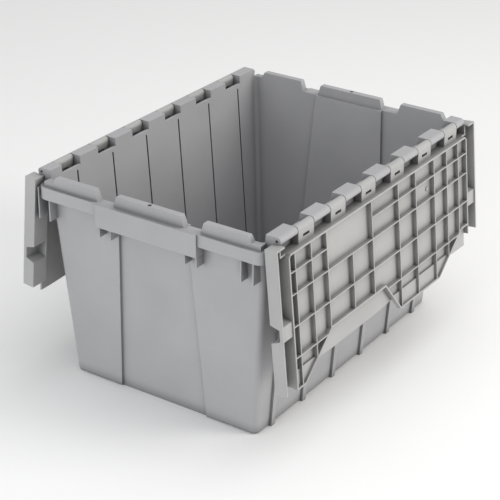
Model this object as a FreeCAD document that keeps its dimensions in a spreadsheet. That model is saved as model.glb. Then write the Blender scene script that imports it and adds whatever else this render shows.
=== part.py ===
import FreeCAD, Part
import math
import os
import re
import Sketcher

# Attached lid tote: a nesting tub with drafted walls, two identical half lids and two
# straight steel hinge rods. Millimetres, +Z up, origin on the floor under the middle
# of the tub, X along the length. A lid is drawn closed, in a frame of its own that has
# its origin on the hinge axis, +Y towards the middle of the tub and +Z up, and its
# Placement hangs it open beside the tub.

doc = FreeCAD.newDocument("attached_lid_tote")
sheet = doc.addObject("Spreadsheet::Sheet", "sizes")

SIZES = [
    # tub walls
    ("base_length", 478.0, "outside length of the foot"),
    ("base_width", 317.0, "outside width of the foot"),
    ("end_draft", 3.2, "outward lean of the end walls, degrees"),
    ("side_draft", 4.2, "outward lean of the long walls, degrees"),
    ("wall", 2.5, "moulded wall thickness"),
    ("corner_round", 9.0, "outside radius of the upright corners"),
    ("foot_round", 4.0, "radius round the bottom edge"),
    ("ledge_height", 298.5, "height of the rim ledge that the lids close on"),
    # rim
    ("rim_end_reach", 14.3, "how far the rim skirt stands out from the end walls' top"),
    ("rim_side_reach", 10.3, "how far the rim skirt stands out from the long walls' top"),
    ("rim_round", 16.0, "radius of the rim corners in plan"),
    ("skirt_drop", 18.0, "height of the rim skirt"),
    ("band_reach", 17.3, "how far a handle band stands out from the end wall's top"),
    ("band_width", 169.0, "width of a handle band"),
    ("band_drop", 33.5, "height of a handle band"),
    ("fin_thick", 1.8, "thickness of a gusset fin"),
    ("fin_drop", 50.0, "how far a fin reaches below the ledge"),
    ("fin_set_back", 1.5, "how far a fin's front edge lies behind the skirt"),
    ("fin_pitch", 19.0, "distance between the two fins of a pair"),
    ("fin_left_inset", 1.4, "middle of an end's left corner pair, in from the long wall's top"),
    ("fin_right_inset", 18.4, "middle of an end's right corner pair, in from the long wall's top"),
    ("fin_band_pair", 72.0, "middle of the pairs under the handle band"),
    # castellated upstand on each end
    ("upstand_reach", 8.3, "how far an upstand stands out from the end wall's top"),
    ("upstand_rise", 16.0, "height of an upstand above the ledge"),
    ("middle_tab", 107.0, "width of the middle tab at its top"),
    ("notch_top", 37.5, "width of a notch at its top"),
    ("tab_slope", 5.0, "how far a tab's end leans over its height"),
    ("side_tab_inset", 20.4, "where the side tab steps down, in from the long wall's top"),
    ("corner_rise", 7.0, "height of the long walls and corners above the ledge"),
    ("seal_bore", 6.0, "diameter of the seal hole in the middle tab"),
    # recessed end panel and side flutes
    ("panel_depth", 4.0, "depth of the recessed end panel"),
    ("panel_foot", 150.0, "width of the recessed end panel at the foot"),
    ("panel_head", 114.0, "width of the recessed end panel at the ledge"),
    ("flute_width", 8.0, "width of a hollow flute on the long walls"),
    ("flute_depth", 3.8, "how far a flute stands proud"),
    ("flute_shift", 3.7, "how far the flutes sit off the middle, towards the near end"),
    # hinge
    ("row_shift", 8.5, "how far the right row's middle sits towards +X"),
    ("row_inset", 4.7, "how far a row's ends lie inside the end walls' top"),
    ("hinge_tuck", 0.72, "how far the outside of a closed lid's roof lies over the rim skirt"),
    ("hinge_rise", 13.0, "height of the hinge axis above the ledge"),
    ("knuckle_round", 6.0, "outer radius of a knuckle"),
    ("tub_knuckle", 40.0, "length of a knuckle on the tub"),
    ("knuckle_gap", 1.2, "gap between the end faces of two knuckles"),
    ("rod_round", 2.0, "radius of the steel hinge rod"),
    ("rod_play", 0.08, "play of the lid's bore round the rod, on the radius"),
    ("rod_inset", 6.0, "how far the rod's ends lie inside the row of knuckles"),
    # lids
    ("rest_lean", 5.4, "lean of a hanging lid from upright, degrees"),
    ("lid_end_reach", 15.3, "how far a lid's end skirt stands out from the end wall's top"),
    ("lid_depth", 12.5, "how far the lid's free edges lie below the hinge axis"),
    ("rib_height", 7.0, "height of the waffle ribs"),
    ("rib_thick", 1.8, "thickness of a waffle rib"),
    ("frame_inset", 10.7, "how far the frame round the waffle lies inside the end walls' top"),
    ("frame_chamfer", 5.0, "corner cut of the frame that clears the tub's inner corners"),
    ("frame_gap", 1.0, "gap between the lid's frame and the tub's long wall"),
    ("leg_start", 4.0, "where the lid's end borders start, from the hinge axis"),
    ("arm_depth", 4.5, "how far the hinge arms reach below the axis"),
    ("window_length", 15.0, "length of the window in a hinge arm"),
    ("window_width", 4.0, "width of the window in a hinge arm"),
    ("tooth_reach", 18.0, "how far a tooth passes the middle of the tub"),
    ("bay_depth", 36.0, "how far the bay's wall stays short of the middle"),
    ("lip_reach", 1.5, "how far the lip over a bay passes the middle"),
    ("lip_gap", 0.5, "gap between a lip and what lies against it"),
    ("tooth_overlap", 8.0, "how far a tooth's step lies short of the middle"),
    ("slant_inner", 21.0, "half the length of the middle slant along the lid"),
    ("slant_shift", 11.0, "how far the middle slant lies towards the far end"),
    ("slant_start", 0.612, "where the outer slant starts, as a share of the half frame"),
    ("slant_end", 0.918, "where the outer slant ends, as a share of the half frame"),
    ("dip_floor", 19.0, "width of the floor of the dip over a tub notch"),
    ("dip_slope", 5.0, "how far the dip's sides lean over its depth"),
    ("dip_depth", 14.0, "depth of the dip in the lid's end border"),
]

# Waffle ribs of a lid. Lengthwise ones are at a share of the hinge axis's distance from
# the middle of the tub, crosswise ones at a share of the frame's half length. The first
# lengthwise rib leaves out the label field, which lies between two crosswise ones.
LENGTHWISE_RIBS = (0.233, 0.394, 0.627)
TOOTH_RIB = 0.858
CROSSWISE_RIBS = (-0.941, -0.784, -0.629, -0.151, 0.15, 0.355, 0.58, 0.739, 0.884)
SHORT_RIB = -0.371
LABEL_FIELD = (-0.629, -0.151)

# Sizes that several features share, worked out from the named ones.
TOP_X = "(base_length / 2 + ledge_height * tan(end_draft))"
TOP_Y = "(base_width / 2 + ledge_height * tan(side_draft))"
RIM_X, RIM_Y = "(%s + rim_end_reach)" % TOP_X, "(%s + rim_side_reach)" % TOP_Y
BAND_X, UPSTAND_X = "(%s + band_reach)" % TOP_X, "(%s + upstand_reach)" % TOP_X
SIDE_TAB_END = "(%s - side_tab_inset)" % TOP_Y
HINGE_REACH = "(rim_side_reach + knuckle_round - hinge_tuck)"
HINGE_Y, HINGE_Z = "(%s + %s)" % (TOP_Y, HINGE_REACH), "(ledge_height + hinge_rise)"
ROOF = "(%s + knuckle_round)" % HINGE_Z
WALL_Y = "(base_width / 2 - wall + %s * tan(side_draft))" % ROOF
PITCH, ROW_END = "(base_length / 6)", "(%s - row_inset)" % TOP_X
CORNER_X = "(%s + knuckle_gap)" % ROW_END
LID_X, FRAME_X = "(%s + lid_end_reach)" % TOP_X, "(%s - frame_inset)" % TOP_X
FRAME_START = "(%s + wall + frame_gap)" % HINGE_REACH
TOOTH_TIP = "(%s + tooth_reach)" % HINGE_Y
BAY_WALL = "(%s - bay_depth)" % HINGE_Y
LIP_EDGE = "(%s + lip_reach)" % HINGE_Y
PLATE_EDGE = "(%s - lip_reach - lip_gap)" % HINGE_Y
STEP_START = "(%s - tooth_overlap)" % HINGE_Y
NEAR_LEG_END = "(%s - 2 * frame_gap)" % TOOTH_TIP
FAR_LEG_END = "(%s - tooth_reach - frame_gap)" % HINGE_Y
LEG_LOW = "(corner_rise + lip_gap - hinge_rise)"
PANEL_LOW = "(rib_height - lid_depth)"
PANEL_TOP = "(rib_height - lid_depth + wall)"
TOOTH_TOP = "(rib_height - lid_depth - lip_gap)"
TOOTH_LOW = "(rib_height - lid_depth - lip_gap - wall)"
DIP_Y = "(%s - middle_tab / 2 - notch_top / 2)" % HINGE_Y


def fill_sheet():
    for row, (alias, value, note) in enumerate(SIZES, start=1):
        sheet.set("A%d" % row, note)
        sheet.set("B%d" % row, str(value))
        sheet.setAlias("B%d" % row, alias)
    doc.recompute()


UNIT_X = FreeCAD.Vector(1, 0, 0)
ALIASES = re.compile(r"\b(" + "|".join(item[0] for item in SIZES) + r")\b")


def size(expression):
    """The number that an expression on the sheet's names gives."""
    return float(sheet.evalExpression(str(expression)))


def bind(obj, target, expression):
    """Bind a property or a constraint to an expression on the sheet's names."""
    obj.setExpression(target, ALIASES.sub(r"sizes.\1", str(expression)))


# Sketches ---------------------------------------------------------------------------

def new_sketch(body, name, role, offset):
    """An empty sketch parallel to one of the body's own origin planes."""
    sketch = body.newObject("Sketcher::SketchObject", name)
    plane = [item for item in body.Origin.OriginFeatures if item.Role == role][0]
    sketch.AttachmentSupport = (plane, [""])
    sketch.MapMode = "FlatFace"
    bind(sketch, "AttachmentOffset.Base.z", offset)
    return sketch


def pin(sketch, edge, end, point):
    """Fix an edge's end by its two distances from the sketch's origin."""
    for kind, expression in zip(("DistanceX", "DistanceY"), point):
        value = size(expression)
        index = sketch.addConstraint(Sketcher.Constraint(kind, -1, 1, edge, end, value))
        bind(sketch, "Constraints[%d]" % index, expression)


def add_loop(sketch, points):
    """A closed outline of straight lines through the given corner points."""
    corners = [FreeCAD.Vector(size(x), size(y), 0) for x, y in points]
    first = sketch.GeometryCount
    count = len(points)
    for i in range(count):
        sketch.addGeometry(Part.LineSegment(corners[i], corners[(i + 1) % count]), False)
    for i in range(count):
        following = first + (i + 1) % count
        sketch.addConstraint(Sketcher.Constraint("Coincident", first + i, 2, following, 1))
        pin(sketch, first + i, 1, points[i])


def add_rounded(sketch, half_x, half_y, radius):
    """A rectangle round the origin with rounded corners."""
    first = sketch.GeometryCount
    value = size(radius)
    for turn, (sx, sy) in enumerate(((1, 1), (-1, 1), (-1, -1), (1, -1))):
        centre = FreeCAD.Vector(sx * (size(half_x) - value), sy * (size(half_y) - value), 0)
        start = turn * math.pi / 2
        circle = Part.Circle(centre, FreeCAD.Vector(0, 0, 1), value)
        sketch.addGeometry(Part.ArcOfCircle(circle, start, start + math.pi / 2), False)
    for turn in range(4):
        arc, following = first + turn, first + (turn + 1) % 4
        begin = sketch.Geometry[arc].EndPoint
        end = sketch.Geometry[following].StartPoint
        line = sketch.addGeometry(Part.LineSegment(begin, end), False)
        sketch.addConstraint(Sketcher.Constraint("Tangent", arc, 2, line, 1))
        sketch.addConstraint(Sketcher.Constraint("Tangent", line, 2, following, 1))
    for turn, (sx, sy) in enumerate(((1, 1), (-1, 1), (-1, -1), (1, -1))):
        pin(sketch, first + turn, 3, ("%d * (%s - %s)" % (sx, half_x, radius),
                                      "%d * (%s - %s)" % (sy, half_y, radius)))
    index = sketch.addConstraint(Sketcher.Constraint("Radius", first, value))
    bind(sketch, "Constraints[%d]" % index, radius)


def add_circle(sketch, x, y, radius):
    centre = FreeCAD.Vector(size(x), size(y), 0)
    circle = Part.Circle(centre, FreeCAD.Vector(0, 0, 1), size(radius))
    edge = sketch.addGeometry(circle, False)
    pin(sketch, edge, 3, (x, y))
    index = sketch.addConstraint(Sketcher.Constraint("Radius", edge, size(radius)))
    bind(sketch, "Constraints[%d]" % index, radius)


def box_loop(x1, x2, y1, y2):
    return [(x1, y1), (x2, y1), (x2, y2), (x1, y2)]


def turned(points):
    """The same outline turned half a turn about the sketch's origin."""
    return [("-(%s)" % x, "-(%s)" % y) for x, y in points]


# Features ---------------------------------------------------------------------------

def extrude(body, sketch, length, cut):
    """Add or cut a sketch's outline along its plane's normal."""
    kind = "PartDesign::Pocket" if cut else "PartDesign::Pad"
    feature = body.newObject(kind, sketch.Name + ("_cut" if cut else "_pad"))
    feature.Profile = sketch
    feature.Reversed = cut
    feature.Refine = False
    bind(feature, "Length", length)
    return feature


def upright(body, name, low, high, loops, cut=False):
    """Outlines in plan, from one height to another."""
    sketch = new_sketch(body, name, "XY_Plane", low)
    for points in loops:
        add_loop(sketch, points)
    return extrude(body, sketch, "%s - (%s)" % (high, low), cut)


def lengthwise(body, name, start, end, loops, cut=False):
    """Outlines across the tub, (y, z), from one place along X to another."""
    sketch = new_sketch(body, name, "YZ_Plane", start)
    for points in loops:
        add_loop(sketch, points)
    return extrude(body, sketch, "%s - (%s)" % (end, start), cut)


def round_bars(body, name, start, end, radius, cut=False):
    """A cylinder along each hinge axis of the tub."""
    sketch = new_sketch(body, name, "YZ_Plane", start)
    for sign in ("", "-"):
        add_circle(sketch, sign + HINGE_Y, HINGE_Z, radius)
    return extrude(body, sketch, "%s - (%s)" % (end, start), cut)


def eye_bar(lid, name, start, end, radius, cut=False):
    """A cylinder along the lid's own hinge axis."""
    sketch = new_sketch(lid, name, "YZ_Plane", start)
    add_circle(sketch, "0", "0", radius)
    return extrude(lid, sketch, "%s - (%s)" % (end, start), cut)


def frustum(body, name, low, high, low_box, high_box, cut=False):
    """A block whose four sides lean straight from one rectangle to another above it."""
    kind = "PartDesign::SubtractiveWedge" if cut else "PartDesign::AdditiveWedge"
    block = body.newObject(kind, name)
    block.Refine = False
    block.Placement = FreeCAD.Placement(FreeCAD.Vector(), FreeCAD.Rotation(UNIT_X, 90))
    for axis, expression in (("Ymin", low), ("Ymax", high)):
        bind(block, axis, expression)
    for prefix, (x1, x2, y1, y2) in (("", low_box), ("2", high_box)):
        bind(block, "X%smin" % prefix, x1)
        bind(block, "X%smax" % prefix, x2)
        bind(block, "Z%smin" % prefix, "-(%s)" % y2)
        bind(block, "Z%smax" % prefix, "-(%s)" % y1)
    return block


def fillet(body, name, radius, wanted):
    """Round every edge of the body's last feature that the test picks."""
    doc.recompute()
    base = body.Tip
    picked = ["Edge%d" % (i + 1) for i, edge in enumerate(base.Shape.Edges) if wanted(edge)]
    feature = body.newObject("PartDesign::Fillet", name)
    feature.Base = (base, picked)
    bind(feature, "Radius", radius)
    return feature


def steep(edge):
    """True for an edge that runs mostly up and down."""
    box = edge.BoundBox
    return box.ZLength > max(box.XLength, box.YLength)


# Tub --------------------------------------------------------------------------------

def wall_box(height, inset):
    """Rectangle of the drafted walls at a height, moved in by an inset."""
    x = "(base_length / 2 - %s + %s * tan(end_draft))" % (inset, height)
    y = "(base_width / 2 - %s + %s * tan(side_draft))" % (inset, height)
    return "-" + x, x, "-" + y, y


def panel_box(height, side, inner, outer, margin):
    """Strip across the end wall where the recessed panel is, at a height."""
    x = "(base_length / 2 + %s * tan(end_draft))" % height
    narrowing = "(panel_foot - panel_head) / 2 * %s / ledge_height" % height
    half = "(panel_foot / 2 + %s - %s)" % (margin, narrowing)
    near, far = "(%s - %s)" % (x, inner), "(%s - %s)" % (x, outer)
    return (near, far, "-" + half, half) if side > 0 else ("-" + far, "-" + near, "-" + half, half)


def add_walls(tub):
    frustum(tub, "walls", "0", "ledge_height", wall_box("0", "0"), wall_box("ledge_height", "0"))
    fillet(tub, "outer_corners", "corner_round", steep)
    fillet(tub, "foot_edge", "foot_round", lambda edge: edge.BoundBox.ZMax < 0.01)


def flute_profile(side, inner, outer):
    """Leaning strip across the long wall, from its inner to its outer offset."""
    foot, head = "(base_width / 2)", TOP_Y
    sign = "%d * " % side
    return [(sign + "(%s + %s)" % (foot, inner), "0"), (sign + "(%s + %s)" % (foot, outer), "0"),
            (sign + "(%s + %s)" % (head, outer), "ledge_height"),
            (sign + "(%s + %s)" % (head, inner), "ledge_height")]


def flute_place(side, index, width):
    middle = "%d * ((%d - 2.5) * %s - flute_shift)" % (-side, index, PITCH)
    return "%s - %s / 2" % (middle, width), "%s + %s / 2" % (middle, width)


def add_flutes(tub):
    for side in (-1, 1):
        for index in range(6):
            start, end = flute_place(side, index, "flute_width")
            name = "flute_%s_%d" % ("right" if side < 0 else "left", index + 1)
            lengthwise(tub, name, start, end, [flute_profile(side, "-wall", "flute_depth")])


def add_grooves(inside):
    """The flutes are hollow, so each shows as a narrow groove inside."""
    for side in (-1, 1):
        for index in range(6):
            start, end = flute_place(side, index, "(flute_width - 2 * wall)")
            name = "groove_%s_%d" % ("right" if side < 0 else "left", index + 1)
            profile = flute_profile(side, "(-2 * wall)", "(flute_depth - wall)")
            profile[0] = (profile[0][0], "wall")
            profile[1] = (profile[1][0], "wall")
            lengthwise(inside, name, start, end, [profile])


def add_rim(tub):
    ledge = new_sketch(tub, "ledge", "XY_Plane", "ledge_height - wall")
    add_rounded(ledge, RIM_X, RIM_Y, "rim_round")
    extrude(tub, ledge, "wall", False)
    skirt = new_sketch(tub, "skirt", "XY_Plane", "ledge_height - skirt_drop")
    add_rounded(skirt, RIM_X, RIM_Y, "rim_round")
    add_rounded(skirt, "(%s - wall)" % RIM_X, "(%s - wall)" % RIM_Y, "(rim_round - wall)")
    extrude(tub, skirt, "skirt_drop - wall", False)


def add_handle_bands(tub):
    """A deeper band stands proud of each end skirt, with hand room behind it."""
    half, face = "band_width / 2", BAND_X
    room = box_loop(TOP_X, face, "-(%s)" % half, half)
    upright(tub, "hand_room", "ledge_height - skirt_drop", "ledge_height - wall",
            [room, turned(room)], cut=True)
    plate = box_loop("%s - wall" % TOP_X, face, "-(%s)" % half, half)
    upright(tub, "band_plate", "ledge_height - wall", "ledge_height", [plate, turned(plate)])
    web = "%s - 2 * wall" % TOP_X
    band = [(web, "-(%s)" % half), (face, "-(%s)" % half), (face, half), (web, half),
            (web, "%s - wall" % half), ("%s - wall" % face, "%s - wall" % half),
            ("%s - wall" % face, "wall - (%s)" % half), (web, "wall - (%s)" % half)]
    upright(tub, "band", "ledge_height - band_drop", "ledge_height", [band, turned(band)])


def add_fins(tub):
    """Thin gussets in pairs tie the rim to the end walls."""
    pairs = (("(%s - fin_left_inset)" % TOP_Y, 1), ("(%s - fin_right_inset)" % TOP_Y, -1),
             ("fin_band_pair", 1), ("fin_band_pair", -1))
    front = "(%s - fin_set_back)" % RIM_X
    loops = []
    for middle, side in pairs:
        for place in (-0.5, 0.5):
            y = "(%d * %s + %s * fin_pitch)" % (side, middle, place)
            fin = box_loop("-" + front, "2 * wall - (base_length / 2)",
                           y + " - fin_thick / 2", y + " + fin_thick / 2")
            loops += [fin, turned(fin)]
    upright(tub, "fins", "ledge_height - fin_drop", "ledge_height - wall", loops)


def tab_profile():
    """Castellated outline of an end upstand, (y, z), over the whole width."""
    top = "(ledge_height + upstand_rise)"
    low = "ledge_height"
    corner = "(ledge_height + corner_rise)"
    edge = "(middle_tab / 2)"
    half = [(edge, top), (edge + " + tab_slope", low),
            (edge + " + notch_top - tab_slope", low), (edge + " + notch_top", top),
            (SIDE_TAB_END, top), ("%s + tab_slope" % SIDE_TAB_END, corner),
            (TOP_Y, corner), (TOP_Y, low + " - wall")]
    return half + [("-(%s)" % y, z) for y, z in reversed(half)]


def add_upstands(tub):
    start = "(base_length / 2)"
    lengthwise(tub, "upstand_far", start, UPSTAND_X, [tab_profile()])
    lengthwise(tub, "upstand_near", "-" + UPSTAND_X, "-" + start, [tab_profile()])


def add_hinge_rows(tub):
    """Knuckles along the outside of each long wall, with gaps for the lids' arms."""
    inner = "(base_width / 2 - wall + (ledge_height - wall) * tan(side_draft))"
    block = [(inner, "ledge_height - wall"), (WALL_Y, ROOF), (HINGE_Y, ROOF),
             (HINGE_Y, "%s - knuckle_round" % HINGE_Z), (RIM_Y, "ledge_height"),
             (TOP_Y, "ledge_height - wall")]
    other = [("-(%s)" % y, z) for y, z in block]
    lengthwise(tub, "knuckle_blocks", "-" + ROW_END, ROW_END, [block, other])
    round_bars(tub, "knuckles", "-" + ROW_END, ROW_END, "knuckle_round")
    rooms, gaps = [], []
    strip, outboard = "(%s + wall)" % WALL_Y, "(%s + 2 * knuckle_round)" % HINGE_Y
    for index in range(6):
        start = "row_shift + (%d - 3) * %s + tub_knuckle / 2" % (index, PITCH)
        end = "row_shift + (%d - 2) * %s - tub_knuckle / 2" % (index, PITCH)
        rooms.append(box_loop(start, end, "-" + outboard, "-" + strip))
        gaps.append(box_loop(start, end, "-" + strip, "wall - " + WALL_Y))
    above = "%s + wall" % ROOF
    upright(tub, "arm_rooms", "ledge_height", above, rooms + [turned(room) for room in rooms],
            cut=True)
    upright(tub, "arm_gaps", "ledge_height + corner_rise", above,
            gaps + [turned(gap) for gap in gaps], cut=True)


def cut_panels(block):
    """The middle of each end wall stands back from the corners."""
    below = "(ledge_height - wall)"
    for side, word in ((-1, "near"), (1, "far")):
        frustum(block, "panel_face_" + word, "0", below,
                panel_box("0", side, "panel_depth", "(0 - foot_round)", "0"),
                panel_box(below, side, "panel_depth", "(0 - foot_round)", "0"), cut=True)


def make_inside():
    """The room inside the tub, with the end panels' steps and the flutes' grooves."""
    inside = doc.addObject("PartDesign::Body", "tub_inside")
    top = "(%s + 2 * wall)" % ROOF
    frustum(inside, "room", "wall", top, wall_box("wall", "wall"), wall_box(top, "wall"))
    fillet(inside, "room_corners", "corner_round - wall", steep)
    fillet(inside, "room_floor", "foot_round - wall",
           lambda edge: edge.BoundBox.ZMax < size("wall") + 0.01)
    for side, word in ((-1, "near"), (1, "far")):
        depth = "(panel_depth + wall)"
        frustum(inside, "panel_step_" + word, "0", "ledge_height",
                panel_box("0", side, depth, "(0 - foot_round)", "wall"),
                panel_box("ledge_height", side, depth, "(0 - foot_round)", "wall"), cut=True)
    add_grooves(inside)
    return inside


def cut_upstand_rooms(tub):
    """The upstands are hollow from below."""
    outer = "(%s - wall)" % UPSTAND_X
    inner = "(%s + wall)" % TOP_X
    edge = "(middle_tab / 2 - wall - tab_slope)"
    start = "(middle_tab / 2 + notch_top + wall)"
    end = "(%s - wall)" % SIDE_TAB_END
    rooms = [box_loop(inner, outer, "-" + edge, edge), box_loop(inner, outer, start, end),
             box_loop(inner, outer, "-" + end, "-" + start)]
    upright(tub, "upstand_rooms", "ledge_height - wall", "ledge_height + upstand_rise - wall",
            rooms + [turned(room) for room in rooms], cut=True)


def cut_bores(tub):
    seal = new_sketch(tub, "seal_holes", "XY_Plane", "ledge_height - 2 * wall")
    for sign in ("", "-"):
        add_circle(seal, "%s(%s + %s) / 2" % (sign, UPSTAND_X, TOP_X), "0", "seal_bore / 2")
    extrude(tub, seal, "upstand_rise + 3 * wall", True)
    past = "(%s + wall)" % ROW_END
    round_bars(tub, "rod_bores", "-" + past, past, "rod_round", cut=True)


def make_tub():
    block = doc.addObject("PartDesign::Body", "tub_block")
    add_walls(block)
    add_flutes(block)
    add_rim(block)
    add_handle_bands(block)
    add_fins(block)
    add_upstands(block)
    add_hinge_rows(block)
    cut_panels(block)
    cut_upstand_rooms(block)
    cut_bores(block)
    tub = doc.addObject("Part::Cut", "tub")
    tub.Base = block
    tub.Tool = make_inside()
    return tub


# Lids -------------------------------------------------------------------------------

def down_tooth(s):
    """How far down a tooth a distance from the hinge axis lies, from 0 to 1."""
    return "((%s - %s) / (%s - %s))" % (s, BAY_WALL, TOOTH_TIP, BAY_WALL)


def near_slant(s):
    """Place along X of the half tooth's slant, at a distance from the hinge axis."""
    return "(-%s * (slant_start + (slant_end - slant_start) * %s))" % (FRAME_X, down_tooth(s))


def middle_slant(s):
    return "(slant_inner * (2 * %s - 1) + slant_shift)" % down_tooth(s)


def far_slant(s):
    return "(%s * (slant_end - (slant_end - slant_start) * %s))" % (FRAME_X, down_tooth(s))


def teeth(root, tip, inset="0"):
    """Outlines of the near end's half tooth and of the far half's whole tooth."""
    return [[("-" + FRAME_X, root), ("%s - %s" % (near_slant(root), inset), root),
             ("%s - %s" % (near_slant(tip), inset), tip), ("-" + FRAME_X, tip)],
            [("%s + %s" % (middle_slant(root), inset), root),
             ("%s - %s" % (far_slant(root), inset), root),
             ("%s - %s" % (far_slant(tip), inset), tip),
             ("%s + %s" % (middle_slant(tip), inset), tip)]]


def slants(root, tip):
    """Outlines of the three slanting walls, between two distances from the hinge axis."""
    skin = "1.2 * wall"
    loops = []
    for slant, sign in ((near_slant, "-"), (middle_slant, "+"), (far_slant, "-")):
        loops.append([(slant(root), root), (slant(tip), tip),
                      ("%s %s %s" % (slant(tip), sign, skin), tip),
                      ("%s %s %s" % (slant(root), sign, skin), root)])
    return loops


def at_end(sign, points):
    """An outline given by distances from the lid's middle, put at one of its ends."""
    return [("%d * (%s)" % (sign, x), y) for x, y in points]


def add_arms(lid):
    """Six hinge arms with an eye each and a window behind it."""
    half = "((%s - tub_knuckle) / 2 - knuckle_gap)" % PITCH
    middles = ["(row_shift + (%d - 2.5) * %s)" % (index, PITCH) for index in range(6)]
    start, end = "%s - %s" % (middles[0], half), "%s + %s" % (middles[-1], half)
    reach = "(%s + wall)" % FRAME_START
    profile = [("0", "-knuckle_round"), (reach, "-arm_depth"), (reach, "knuckle_round"),
               ("0", "knuckle_round")]
    lengthwise(lid, "arms", start, end, [profile])
    eye_bar(lid, "eyes", start, end, "knuckle_round")
    between = [box_loop("%s + %s" % (left, half), "%s - %s" % (right, half),
                        "-2 * knuckle_round", FRAME_START)
               for left, right in zip(middles, middles[1:])]
    upright(lid, "arm_spaces", "-2 * knuckle_round", "2 * knuckle_round", between, cut=True)
    windows = [box_loop("%s - window_length / 2" % x, "%s + window_length / 2" % x,
                        "knuckle_round + wall", "knuckle_round + wall + window_width")
               for x in middles]
    upright(lid, "windows", "-2 * knuckle_round", "2 * knuckle_round", windows, cut=True)
    eye_bar(lid, "eye_bore", start + " - wall", end + " + wall", "rod_round + rod_play", cut=True)


def add_legs(lid):
    """A border over each end upstand: roof, outer skirt, end wall and inner cheek."""
    roof = "(knuckle_round - wall)"
    back = "(%s + wall)" % FRAME_START
    cut_x, cut_y = "(%s - frame_chamfer)" % FRAME_X, "(%s + frame_chamfer)" % FRAME_START
    roofs, skirts, ends, cheeks = [], [], [], []
    for sign, stop in ((-1, NEAR_LEG_END), (1, FAR_LEG_END)):
        skin = "(%s - wall)" % FRAME_X
        roofs.append(at_end(sign, [(LID_X, "leg_start"), (LID_X, stop), (skin, stop),
                                   (skin, cut_y), (cut_x, back), (cut_x, FRAME_START),
                                   (CORNER_X, FRAME_START), (CORNER_X, "leg_start")]))
        skirts.append(at_end(sign, box_loop("%s - wall" % LID_X, LID_X, "leg_start", stop)))
        ends.append(at_end(sign, box_loop(CORNER_X, LID_X, "leg_start", "leg_start + wall")))
        inner = "%s + wall" % CORNER_X
        cheeks.append(at_end(sign, [(CORNER_X, "leg_start"), (inner, "leg_start"), (inner, back),
                                    (cut_x, back), (cut_x, FRAME_START),
                                    (CORNER_X, FRAME_START)]))
    upright(lid, "leg_roofs", roof, "knuckle_round", roofs)
    upright(lid, "leg_skirts", "-lid_depth", roof, skirts)
    upright(lid, "leg_ends", "-lid_depth", roof, ends)
    upright(lid, "leg_cheeks", LEG_LOW, roof, cheeks)


def add_frame(lid):
    """The wall round the waffle, open over the teeth, with cut corners at the hinge."""
    cut_x, cut_y = "(%s - frame_chamfer)" % FRAME_X, "(%s + frame_chamfer)" % FRAME_START
    skin, back = "(%s - wall)" % FRAME_X, "(%s + wall)" % FRAME_START
    outline = [("-" + FRAME_X, NEAR_LEG_END), ("-" + FRAME_X, cut_y), ("-" + cut_x, FRAME_START),
               (cut_x, FRAME_START), (FRAME_X, cut_y), (FRAME_X, FAR_LEG_END),
               (skin, FAR_LEG_END), (skin, cut_y), (cut_x, back), ("-" + cut_x, back),
               ("-" + skin, cut_y), ("-" + skin, NEAR_LEG_END)]
    upright(lid, "frame", "-lid_depth", "knuckle_round", [outline])


def add_panel(lid):
    """The sunk panel, its lips over the bays, and the lower plates of the teeth."""
    cut_x, cut_y = "(%s - frame_chamfer)" % FRAME_X, "(%s + frame_chamfer)" % FRAME_START
    lip_end = "(%s - wall - lip_gap)" % FRAME_X
    outline = [("-" + FRAME_X, cut_y), ("-" + cut_x, FRAME_START), (cut_x, FRAME_START),
               (FRAME_X, cut_y), (FRAME_X, FAR_LEG_END), (lip_end, FAR_LEG_END),
               (lip_end, LIP_EDGE), (far_slant(BAY_WALL), LIP_EDGE),
               (far_slant(TOOTH_TIP), PLATE_EDGE), ("slant_inner", PLATE_EDGE),
               ("-slant_inner", LIP_EDGE), (near_slant(BAY_WALL), LIP_EDGE),
               (near_slant(TOOTH_TIP), PLATE_EDGE), ("-" + FRAME_X, PLATE_EDGE)]
    upright(lid, "panel", PANEL_LOW, PANEL_TOP, [outline])
    upright(lid, "tooth_plates", TOOTH_LOW, TOOTH_TOP, teeth(STEP_START, TOOTH_TIP))
    upright(lid, "tooth_steps", TOOTH_LOW, PANEL_LOW, teeth(STEP_START, "(%s + wall)" % STEP_START))


def add_tooth_walls(lid):
    """A wall runs along the bays, down the slants and round the tips of the teeth."""
    end = "(%s + wall)" % BAY_WALL
    bays = [box_loop(near_slant(BAY_WALL) + " - wall", middle_slant(BAY_WALL) + " + wall",
                     BAY_WALL, end),
            box_loop(far_slant(BAY_WALL) + " - wall", FRAME_X, BAY_WALL, end)]
    upright(lid, "bay_walls", "-lid_depth", PANEL_LOW, bays)
    upright(lid, "tooth_tips", "-lid_depth", TOOTH_LOW, teeth("(%s - wall)" % TOOTH_TIP, TOOTH_TIP))
    upright(lid, "slant_walls", "-lid_depth", TOOTH_LOW, slants(BAY_WALL, TOOTH_TIP))
    upright(lid, "slant_heads", TOOTH_LOW, PANEL_LOW, slants(BAY_WALL, STEP_START))


def rib_stop(share):
    """Where a crosswise rib ends: a tooth's root, a slanting wall or a bay's wall."""
    first, last = size("slant_start"), size("slant_end")
    if share < -last or size(middle_slant(TOOTH_TIP)) < share * size(FRAME_X) < first * size(FRAME_X):
        return STEP_START
    if not first < abs(share) < last:
        return "(%s + wall / 2)" % BAY_WALL
    run = "(%s - slant_start)" % -share if share < 0 else "(slant_end - %s)" % share
    stop = "(%s + (%s - %s) * %s / (slant_end - slant_start))" % (BAY_WALL, TOOTH_TIP, BAY_WALL, run)
    return stop if size(stop) < size(STEP_START) else "(%s + wall / 2)" % STEP_START


def rib_loop(share, start, stop):
    x = "%s * %s" % (share, FRAME_X)
    return box_loop(x + " - rib_thick / 2", x + " + rib_thick / 2", start, stop)


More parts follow.
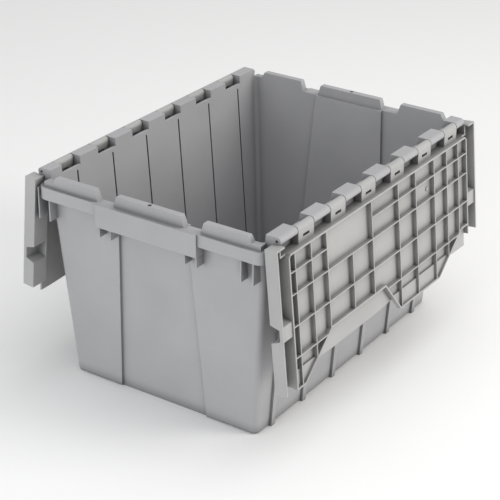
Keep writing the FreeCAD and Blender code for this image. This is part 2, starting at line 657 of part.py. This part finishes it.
def add_waffle(lid):
    field_start, field_end = ["%s * %s" % (share, FRAME_X) for share in LABEL_FIELD]
    runs = [(LENGTHWISE_RIBS[0], "-" + FRAME_X, field_start),
            (LENGTHWISE_RIBS[0], field_end, FRAME_X)]
    runs += [(share, "-" + FRAME_X, FRAME_X) for share in LENGTHWISE_RIBS[1:]]
    long_ribs = [box_loop(start, end, "%s * %s - rib_thick / 2" % (share, HINGE_Y),
                          "%s * %s + rib_thick / 2" % (share, HINGE_Y))
                 for share, start, end in runs]
    upright(lid, "ribs_lengthwise", "-lid_depth", PANEL_LOW, long_ribs)
    cross_ribs = [rib_loop(share, FRAME_START, rib_stop(share)) for share in CROSSWISE_RIBS]
    cross_ribs.append(rib_loop(SHORT_RIB, "%s * %s" % (LENGTHWISE_RIBS[1], HINGE_Y),
                               "(%s + wall / 2)" % BAY_WALL))
    upright(lid, "ribs_crosswise", "-lid_depth", PANEL_LOW, cross_ribs)
    tooth_ribs = [rib_loop(share, "%s - wall" % STEP_START, "%s - wall / 2" % TOOTH_TIP)
                  for share in CROSSWISE_RIBS if rib_stop(share) == STEP_START]
    upright(lid, "ribs_in_teeth", "-lid_depth", "%s + wall / 2" % TOOTH_LOW, tooth_ribs)
    y = "%s * %s" % (TOOTH_RIB, HINGE_Y)
    upright(lid, "ribs_tooth_root", "-lid_depth", PANEL_LOW,
            teeth(y + " - rib_thick / 2", y + " + rib_thick / 2", "wall / 2"))


def dip_profile(top, floor, half):
    return [("%s - %s - dip_slope" % (DIP_Y, half), top), ("%s - %s" % (DIP_Y, half), floor),
            ("%s + %s" % (DIP_Y, half), floor), ("%s + %s + dip_slope" % (DIP_Y, half), top)]


def add_dips(lid):
    """Each end border dips into the tub's notch, so a closed lid can't slide."""
    top, floor = "knuckle_round", "(knuckle_round - dip_depth)"
    outer = dip_profile(top, "(%s - wall)" % floor, "(dip_floor / 2 + wall / 2)")
    inner = dip_profile(top, floor, "(dip_floor / 2 - wall / 2)")
    room = dip_profile("(%s + wall)" % top, floor, "(dip_floor / 2)")
    for word, start, end in (("near", "-" + LID_X, "-" + FRAME_X), ("far", FRAME_X, LID_X)):
        lengthwise(lid, "dip_room_" + word, start, end, [room], cut=True)
        lengthwise(lid, "dip_" + word, start, end, [outer + inner[::-1]])


def open_place(turn):
    """Placement that hangs a lid beside the tub, on the right or turned to the left."""
    axis = FreeCAD.Vector(0, -size(HINGE_Y), size(HINGE_Z))
    swing = FreeCAD.Rotation(UNIT_X, -90 - size("rest_lean"))
    half_turn = FreeCAD.Placement(FreeCAD.Vector(), FreeCAD.Rotation(FreeCAD.Vector(0, 0, 1), turn))
    return half_turn.multiply(FreeCAD.Placement(axis, swing))


def make_right_lid():
    lid = doc.addObject("PartDesign::Body", "right_lid")
    for add in (add_arms, add_legs, add_frame, add_panel, add_tooth_walls, add_waffle, add_dips):
        add(lid)
    lid.Placement = open_place(0)
    return lid


def make_left_lid(right_lid):
    """The left lid is the same moulding as the right one, turned half a turn."""
    doc.recompute()
    lid = doc.addObject("Part::Feature", "left_lid")
    lid.Shape = right_lid.Shape
    lid.Placement = open_place(180)
    return lid


def make_rod(name, side):
    rod = doc.addObject("Part::Cylinder", name)
    bind(rod, "Radius", "rod_round")
    bind(rod, "Height", "2 * (%s - rod_inset)" % ROW_END)
    rod.Placement = FreeCAD.Placement(
        FreeCAD.Vector(-size(ROW_END + " - rod_inset"), side * size(HINGE_Y), size(HINGE_Z)),
        FreeCAD.Rotation(FreeCAD.Vector(0, 1, 0), 90))
    return rod


def write_parts(parts):
    """Refuse a failed feature or an invalid shape, then write one file per piece."""
    doc.recompute()
    failed = [obj.Name for obj in doc.Objects if {"Invalid", "Error"} & set(obj.State)]
    if failed:
        raise RuntimeError("failed features: %s" % failed)
    os.makedirs("parts", exist_ok=True)
    for part in parts:
        shape = part.Shape
        if shape.isNull() or not shape.isValid() or len(shape.Solids) != 1:
            raise RuntimeError("bad shape: %s" % part.Name)
        part.Label = part.Name
        shape.exportStep("parts/%s.step" % part.Name)
        print(part.Name, round(shape.Volume), shape.BoundBox)


fill_sheet()
right_lid = make_right_lid()
write_parts([right_lid, make_left_lid(right_lid), make_rod("right_hinge_rod", -1),
             make_rod("left_hinge_rod", 1), make_tub()])
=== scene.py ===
import bpy
import math
from mathutils import Matrix, Vector


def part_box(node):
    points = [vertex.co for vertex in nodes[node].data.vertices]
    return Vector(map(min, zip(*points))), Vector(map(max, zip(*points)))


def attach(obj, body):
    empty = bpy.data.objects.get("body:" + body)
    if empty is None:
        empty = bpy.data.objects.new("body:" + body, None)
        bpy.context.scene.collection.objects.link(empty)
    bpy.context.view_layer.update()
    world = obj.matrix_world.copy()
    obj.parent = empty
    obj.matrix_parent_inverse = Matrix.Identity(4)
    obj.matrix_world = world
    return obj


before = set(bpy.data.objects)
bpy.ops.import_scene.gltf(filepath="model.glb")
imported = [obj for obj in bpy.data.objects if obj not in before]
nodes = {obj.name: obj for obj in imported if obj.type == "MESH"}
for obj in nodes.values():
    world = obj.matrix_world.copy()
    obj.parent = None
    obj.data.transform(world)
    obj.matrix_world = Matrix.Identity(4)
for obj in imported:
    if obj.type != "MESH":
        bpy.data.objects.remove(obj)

scene = bpy.context.scene
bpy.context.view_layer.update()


# ---- camera --------------------------------------------------------------------

def aim_camera(place, azimuth, elevation, roll, lens):
    """A camera that looks along one compass direction and down by an elevation."""
    bpy.ops.object.camera_add(location=place)
    camera = bpy.context.object
    camera.name = "studio_camera"
    a, e = math.radians(azimuth), math.radians(elevation)
    back = Vector((math.sin(a) * math.cos(e), -math.cos(a) * math.cos(e), math.sin(e)))
    right = Vector((math.cos(a), math.sin(a), 0))
    up = back.cross(right)
    turn = Matrix((right, up, back)).transposed()
    camera.rotation_euler = (turn @ Matrix.Rotation(math.radians(roll), 3, "Z")).to_euler()
    camera.data.lens = lens
    camera.data.sensor_width = 36
    camera.data.clip_end = 50
    scene.camera = camera


aim_camera((-1.7780, -1.1885, 1.1986), -55.91, 26.27, 0.31, 114.96)


# ---- materials -----------------------------------------------------------------

class Finish:
    """A node material under construction, with short calls for its nodes."""

    def __init__(self, name):
        self.material = bpy.data.materials.new(name)
        self.material.use_nodes = True
        self.tree = self.material.node_tree
        self.shader = self.tree.nodes["Principled BSDF"]
        self.place = self.node("ShaderNodeTexCoord").outputs["Object"]

    def node(self, kind, **settings):
        made = self.tree.nodes.new(kind)
        for key, value in settings.items():
            setattr(made, key, value)
        return made

    def join(self, start, end):
        self.tree.links.new(start, end)

    def noise(self, scale, detail=3.0, rough=0.5, stretch=(1, 1, 1)):
        mapping = self.node("ShaderNodeMapping")
        mapping.inputs["Scale"].default_value = stretch
        self.join(self.place, mapping.inputs["Vector"])
        grain = self.node("ShaderNodeTexNoise")
        grain.inputs["Scale"].default_value = scale
        grain.inputs["Detail"].default_value = detail
        grain.inputs["Roughness"].default_value = rough
        self.join(mapping.outputs[0], grain.inputs["Vector"])
        return grain.outputs["Fac"]

    def spread(self, value, low, high, to_low, to_high):
        remap = self.node("ShaderNodeMapRange")
        for index, number in enumerate((low, high, to_low, to_high), start=1):
            remap.inputs[index].default_value = number
        self.join(value, remap.inputs[0])
        return remap.outputs[0]

    def tint(self, amount, first, second):
        mix = self.node("ShaderNodeMix", data_type="RGBA")
        for socket, colour in ((mix.inputs[6], first), (mix.inputs[7], second)):
            if isinstance(colour, tuple):
                socket.default_value = (*colour, 1)
            else:
                self.join(colour, socket)
        self.join(amount, mix.inputs[0])
        return mix.outputs[2]

    def add(self, first, second, operation="ADD"):
        sum_node = self.node("ShaderNodeMath", operation=operation)
        for socket, value in zip(sum_node.inputs, (first, second)):
            if isinstance(value, (int, float)):
                socket.default_value = value
            else:
                self.join(value, socket)
        return sum_node.outputs[0]

    def soft_edges(self, radius):
        """Rounds edges in the shading, and gives how near an edge a point is."""
        bevel = self.node("ShaderNodeBevel", samples=6)
        bevel.inputs["Radius"].default_value = radius
        facing = self.node("ShaderNodeVectorMath", operation="DOT_PRODUCT")
        self.join(bevel.outputs[0], facing.inputs[0])
        self.join(self.node("ShaderNodeNewGeometry").outputs["True Normal"], facing.inputs[1])
        return bevel.outputs[0], self.spread(facing.outputs["Value"], 0.995, 0.8, 0, 1)

    def hollows(self, reach):
        """How deep in a corner a point lies, from 0 in the open to 1."""
        shelter = self.node("ShaderNodeAmbientOcclusion", samples=8)
        shelter.inputs["Distance"].default_value = reach
        return self.spread(shelter.outputs["AO"], 0.35, 0.95, 1, 0)

    def relief(self, height, strength, distance, normal=None):
        bump = self.node("ShaderNodeBump")
        bump.inputs["Strength"].default_value = strength
        bump.inputs["Distance"].default_value = distance
        self.join(height, bump.inputs["Height"])
        if normal is not None:
            self.join(normal, bump.inputs["Normal"])
        return bump.outputs[0]


EDGE_ROUND = 0.0012
CORNER_SHADE_REACH = 0.02
GRAIN = 0.22


def moulded_plastic(name, colour, light):
    """Grey moulded polypropylene: fine grain, faint flow clouds, scuffs, a painted highlight along
    the edges and painted shade in corners and recesses.
    """
    finish = Finish(name)
    clouds = finish.noise(9, 4, 0.55)
    shade = finish.tint(finish.spread(clouds, 0.35, 0.65, 0, 1),
                        tuple(c * 0.955 for c in colour), tuple(c * 1.035 for c in colour))
    speckle = finish.noise(700, 2, 0.6)
    shade = finish.tint(finish.spread(speckle, 0.3, 0.7, 0, 0.12), shade,
                        tuple(c * 0.8 for c in colour))
    scuffs = finish.noise(38, 6, 0.7, (1, 1, 0.16))
    wear = finish.add(finish.spread(scuffs, 0.66, 0.74, 0, 0.3),
                      finish.spread(finish.noise(5, 2), 0.5, 0.62, 0, 1), "MULTIPLY")
    shade = finish.tint(wear, shade, light)
    rounded, edge = finish.soft_edges(EDGE_ROUND)
    # Painted highlight: near the edges the colour is lightened towards the pale colour, broken up by
    # noise.
    edge_highlight = finish.add(edge, finish.spread(finish.noise(60, 3), 0.3, 0.65, 0.15, 0.75), "MULTIPLY")
    shade = finish.tint(edge_highlight, shade, light)
    # Painted shade: corners and recesses, found by ambient occlusion, are darkened towards a dark
    # grey.
    corner_shade = finish.add(finish.hollows(CORNER_SHADE_REACH), 0.85, "MULTIPLY")
    shade = finish.tint(corner_shade, shade, tuple(c * 0.3 for c in colour))
    finish.join(shade, finish.shader.inputs["Base Color"])
    polish = finish.spread(finish.noise(26, 4), 0.3, 0.7, 0.42, 0.54)
    dulled = finish.add(polish, finish.add(wear, 0.25, "MULTIPLY"))
    finish.join(dulled, finish.shader.inputs["Roughness"])
    grain = finish.noise(1300, 2, 0.5)
    finish.join(finish.relief(grain, GRAIN, 0.0004, rounded), finish.shader.inputs["Normal"])
    finish.shader.inputs["IOR"].default_value = 1.49
    return finish.material


def drawn_wire(name):
    """Bright drawn steel wire with lengthwise die lines and a little dulling."""
    finish = Finish(name)
    lines = finish.noise(900, 2, 0.5, (0.02, 1, 1))
    shade = finish.tint(finish.spread(lines, 0.3, 0.7, 0, 1), (0.42, 0.42, 0.43), (0.62, 0.62, 0.63))
    finish.join(shade, finish.shader.inputs["Base Color"])
    polish = finish.spread(finish.noise(120, 3), 0.3, 0.7, 0.25, 0.42)
    finish.join(polish, finish.shader.inputs["Roughness"])
    finish.join(finish.relief(lines, 0.25, 0.0002), finish.shader.inputs["Normal"])
    finish.shader.inputs["Metallic"].default_value = 1.0
    return finish.material


tub_plastic = moulded_plastic("tub_grey_plastic", (0.385, 0.385, 0.395), (0.62, 0.62, 0.63))
lid_plastic = moulded_plastic("lid_grey_plastic", (0.40, 0.40, 0.395), (0.64, 0.64, 0.635))
wire_steel = drawn_wire("hinge_wire_steel")


def dress(node, material):
    """Give a CAD node its finish, in each of its material slots."""
    thing = nodes[node]
    if not thing.material_slots:
        thing.data.materials.append(material)
    for material_slot in thing.material_slots:
        material_slot.material = material


dress("tub", tub_plastic)
dress("right_lid", lid_plastic)
dress("left_lid", lid_plastic)
dress("right_hinge_rod", wire_steel)
dress("left_hinge_rod", wire_steel)


# ---- small moulded and metal details ---------------------------------------------

LEAN = math.radians(95.4)
HINGE = Vector((0, -0.196, 0.3115))
GATE_ALONG, GATE_DOWN, GATE_PROUD = 0.130, 0.0635, -0.0059
GATE_RADIUS, GATE_HEIGHT = 0.0034, 0.0012
ROD_END_RADIUS, ROD_END_HEIGHT = 0.0019, 0.0012
ROD_END_OUT = 0.0005


def lid_place(along, down, proud, half_turn=False):
    """A point of a hanging lid: along it, down from its hinge, and towards its closed top."""
    point = HINGE + Vector((along, down * math.cos(LEAN), -down * math.sin(LEAN)))
    point += proud * Vector((0, math.sin(LEAN), math.cos(LEAN)))
    return Vector((-point.x, -point.y, point.z)) if half_turn else point


def pick_faces(thing, wanted):
    """Select only the faces of the piece in edit mode that the test picks."""
    bpy.ops.mesh.select_all(action="DESELECT")
    bpy.ops.object.mode_set(mode="OBJECT")
    for face in thing.data.polygons:
        face.select = wanted(face)
    bpy.ops.object.mode_set(mode="EDIT")
    bpy.ops.mesh.select_mode(type="FACE")


def turned_button(name, radius, height, place, direction, material):
    """A low turned button: a disc drawn in to a smaller crown, with softened edges."""
    bpy.ops.object.select_all(action="DESELECT")
    bpy.ops.mesh.primitive_cylinder_add(vertices=40, radius=radius, depth=height)
    button = bpy.context.object
    button.name = name
    bpy.ops.object.mode_set(mode="EDIT")
    pick_faces(button, lambda face: face.normal.z > 0.9)
    bpy.ops.mesh.inset(thickness=radius * 0.3)
    bpy.ops.mesh.extrude_region_move(TRANSFORM_OT_translate={"value": (0, 0, height * 0.5)})
    bpy.ops.mesh.inset(thickness=radius * 0.35)
    bpy.ops.transform.translate(value=(0, 0, -height * 0.25))
    bpy.ops.object.mode_set(mode="OBJECT")
    soften = button.modifiers.new("soft_edges", "BEVEL")
    soften.width, soften.segments = radius * 0.08, 2
    bpy.ops.object.modifier_apply(modifier=soften.name)
    bpy.ops.object.shade_smooth_by_angle(angle=math.radians(40))
    button.rotation_euler = Vector(direction).to_track_quat("Z", "Y").to_euler()
    button.location = place
    bpy.ops.object.transform_apply(location=True, rotation=True, scale=True)
    button.data.materials.append(material)
    return button


def add_gate_marks():
    """Each lid keeps the gate mark of its moulding in one cell of the waffle."""
    for word, half_turn in (("right", False), ("left", True)):
        outward = lid_place(0, 0, -1, half_turn) - lid_place(0, 0, 0, half_turn)
        place = lid_place(GATE_ALONG, GATE_DOWN, GATE_PROUD, half_turn)
        mark = turned_button(word + "_lid_gate_mark", GATE_RADIUS, GATE_HEIGHT, place, outward,
                             lid_plastic)
        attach(mark, word + "_lid_body")


def add_rod_ends():
    """Each hinge rod is peened at both ends."""
    low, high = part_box("right_hinge_rod")
    for word, y in (("right", HINGE.y), ("left", -HINGE.y)):
        for end, x in ((-1, low[0]), (1, high[0])):
            name = "%s_rod_%s_end" % (word, "near" if end < 0 else "far")
            place = (x + end * ROD_END_OUT, y, HINGE.z)
            tip = turned_button(name, ROD_END_RADIUS, ROD_END_HEIGHT, place, (end, 0, 0), wire_steel)
            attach(tip, "tub_body")


add_gate_marks()
add_rod_ends()


# ---- studio --------------------------------------------------------------------

def pale_floor():
    """A wide matt studio floor, not attached to any body of the tote."""
    bpy.ops.mesh.primitive_plane_add(size=14)
    floor = bpy.context.object
    floor.name = "studio_floor"
    finish = Finish("pale_floor")
    finish.shader.inputs["Base Color"].default_value = (0.93, 0.93, 0.93, 1)
    finish.shader.inputs["Roughness"].default_value = 0.8
    finish.shader.inputs["Specular IOR Level"].default_value = 0.1
    floor.data.materials.append(finish.material)


def soft_light(name, place, size, power, colour):
    """A large soft box that faces the tote."""
    bpy.ops.object.light_add(type="AREA", location=place)
    lamp = bpy.context.object
    lamp.name = name
    lamp.data.shape = "SQUARE"
    lamp.data.size = size
    lamp.data.energy = power
    lamp.data.color = colour
    lamp.rotation_euler = (Vector((0, 0, 0.2)) - Vector(place)).to_track_quat("-Z", "Y").to_euler()


def studio():
    """An even white surround and three soft boxes: above, at the side and at one end."""
    world = bpy.data.worlds.new("studio_world")
    world.use_nodes = True
    sky = world.node_tree.nodes["Background"]
    sky.inputs["Color"].default_value = (1, 1, 1, 1)
    sky.inputs["Strength"].default_value = 0.62
    scene.world = world
    scene.view_settings.view_transform = "Standard"
    soft_light("overhead_soft_box", (0.3, -0.5, 2.6), 2.0, 18, (1, 1, 1))
    soft_light("side_soft_box", (0.9, -2.4, 1.2), 1.2, 34, (1, 0.975, 0.94))
    soft_light("end_soft_box", (-2.6, 0.3, 1.0), 1.6, 20, (0.95, 0.97, 1))


bpy.ops.object.select_all(action="DESELECT")
pale_floor()
studio()
